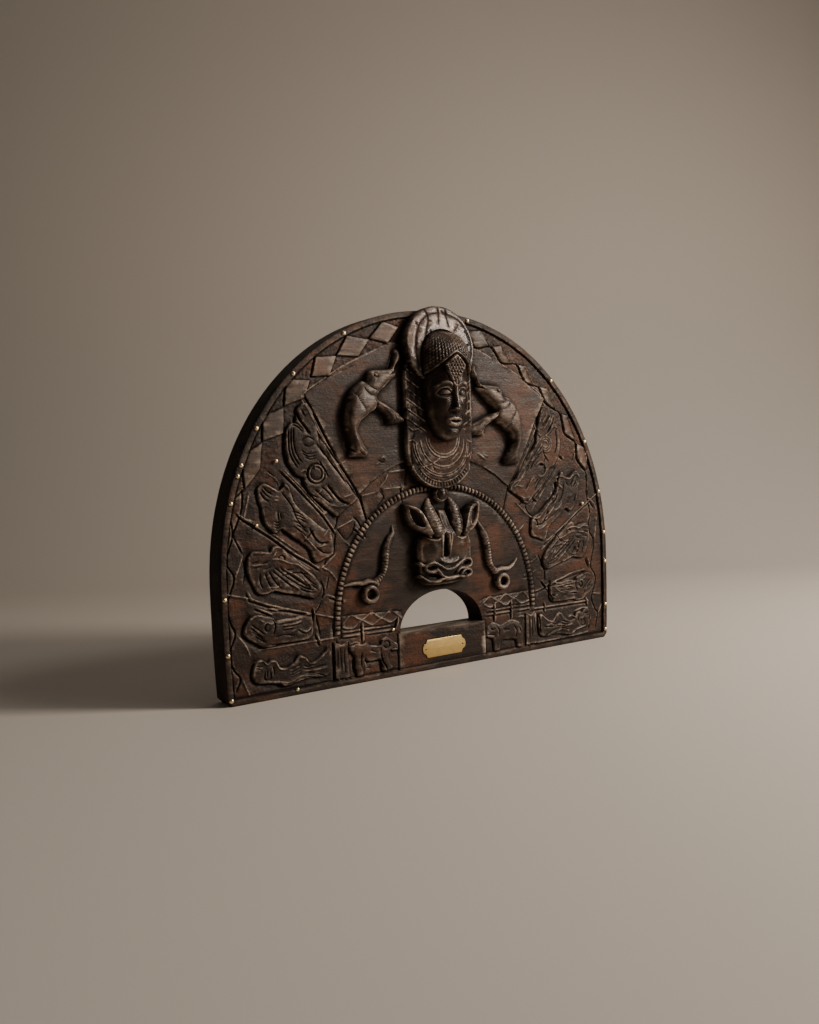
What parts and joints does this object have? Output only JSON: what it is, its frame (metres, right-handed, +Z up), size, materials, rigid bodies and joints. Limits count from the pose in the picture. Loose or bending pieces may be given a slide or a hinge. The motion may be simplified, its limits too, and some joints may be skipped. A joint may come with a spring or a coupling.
{
  "type": "carved wooden relief panel",
  "caption": "Upright half-round carved wooden relief panel with an arched opening, a head under a fan, rearing animals, a roped arch and a small blank brass plate.",
  "frame": {"origin": "middle of the flat underside, at mid-thickness of the board", "axes": "+Z up, the carved front faces -Y, +X to the right seen from the front"},
  "size_m": [0.76, 0.0969, 0.584],
  "materials": {
    "dark_wood": "dark stained carved hardwood, waxed, worn lighter on the high spots",
    "plate_brass": "thin satin brass sheet, left bare",
    "nail_brass": "polished dome heads, a little dulled"
  },
  "bodies": {
    "root": {"carved_panel": "dark_wood", "name_plate": "plate_brass", "plate_pin_left": "nail_brass", "plate_pin_right": "nail_brass", "rim_nail_left_1": "nail_brass", "rim_nail_left_2": "nail_brass", "rim_nail_left_3": "nail_brass", "rim_nail_left_4": "nail_brass", "rim_nail_left_5": "nail_brass", "rim_nail_left_6": "nail_brass", "rim_nail_left_7": "nail_brass", "rim_nail_left_8": "nail_brass", "rim_nail_left_9": "nail_brass", "rim_nail_right_1": "nail_brass", "rim_nail_right_2": "nail_brass", "rim_nail_right_3": "nail_brass", "rim_nail_right_4": "nail_brass", "rim_nail_right_5": "nail_brass", "rim_nail_right_6": "nail_brass", "rim_nail_right_7": "nail_brass", "rim_nail_right_8": "nail_brass", "inner_nail_1": "nail_brass", "inner_nail_2": "nail_brass", "inner_nail_3": "nail_brass", "inner_nail_4": "nail_brass", "inner_nail_5": "nail_brass"}
  },
  "joints": []
}
